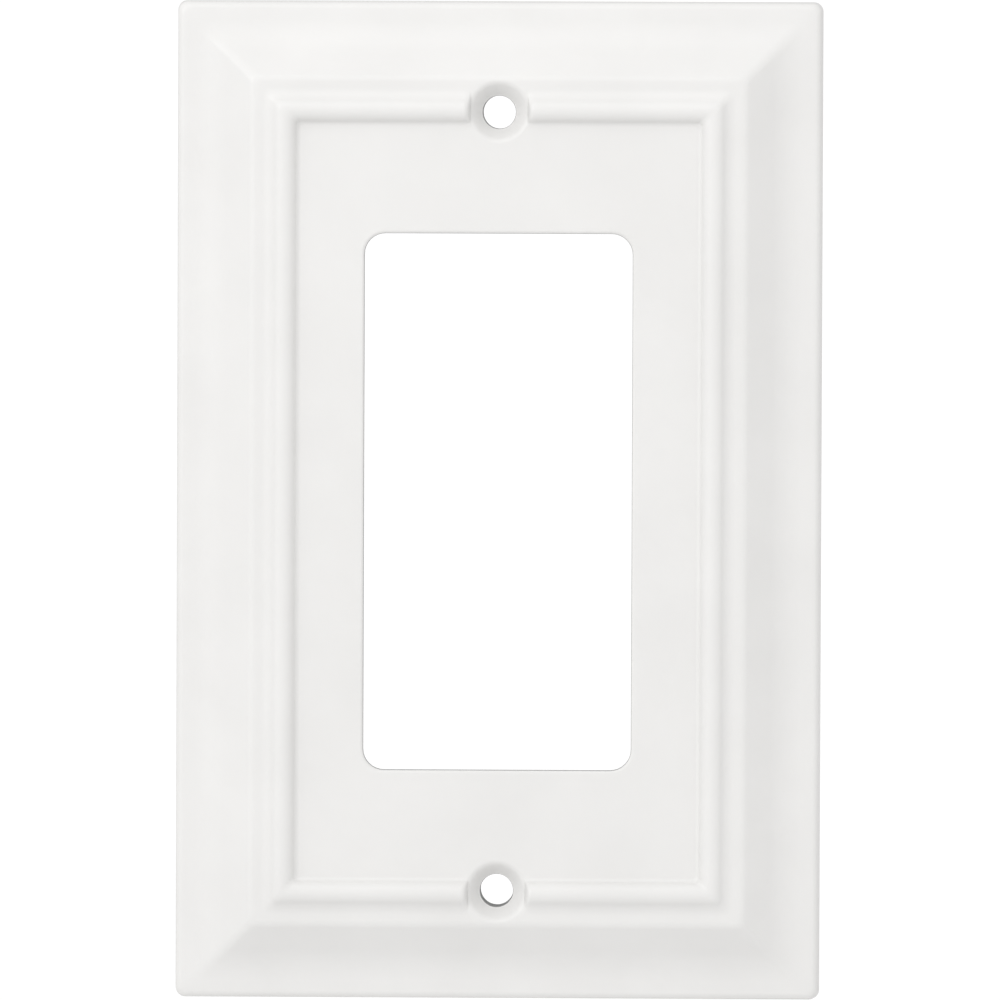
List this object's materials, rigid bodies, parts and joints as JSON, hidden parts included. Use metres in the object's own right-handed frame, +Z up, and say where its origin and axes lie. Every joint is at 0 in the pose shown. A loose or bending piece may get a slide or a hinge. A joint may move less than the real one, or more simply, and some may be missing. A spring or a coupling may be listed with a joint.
{
  "type": "wall plate cover",
  "caption": "Upright rectangular wall plate with a coved, beaded frame, a rounded rectangular window and dished screw holes above and below it; its cover screws are stored in the hollow back.",
  "frame": {"origin": "middle of the plate's outline, in the wall plane that its back rim rests on", "axes": "+Z up as mounted, +X to the right seen from the front, and the front faces -Y"},
  "size_m": [0.0804, 0.0096, 0.1244],
  "materials": {
    "white_paint": "satin",
    "zinc_plated_screw": "satin"
  },
  "bodies": {
    "plate": {"cover_plate": "white_paint"},
    "left_screw": {"left_screw": "zinc_plated_screw"},
    "right_screw": {"right_screw": "zinc_plated_screw"}
  },
  "joints": [
    {"name": "left_screw_release", "type": "slide", "parent": "plate", "child": "left_screw", "axis": [0, 1, 0], "range_m": [0, 0.02]},
    {"name": "right_screw_release", "type": "slide", "parent": "plate", "child": "right_screw", "axis": [0, 1, 0], "range_m": [0, 0.02]}
  ]
}
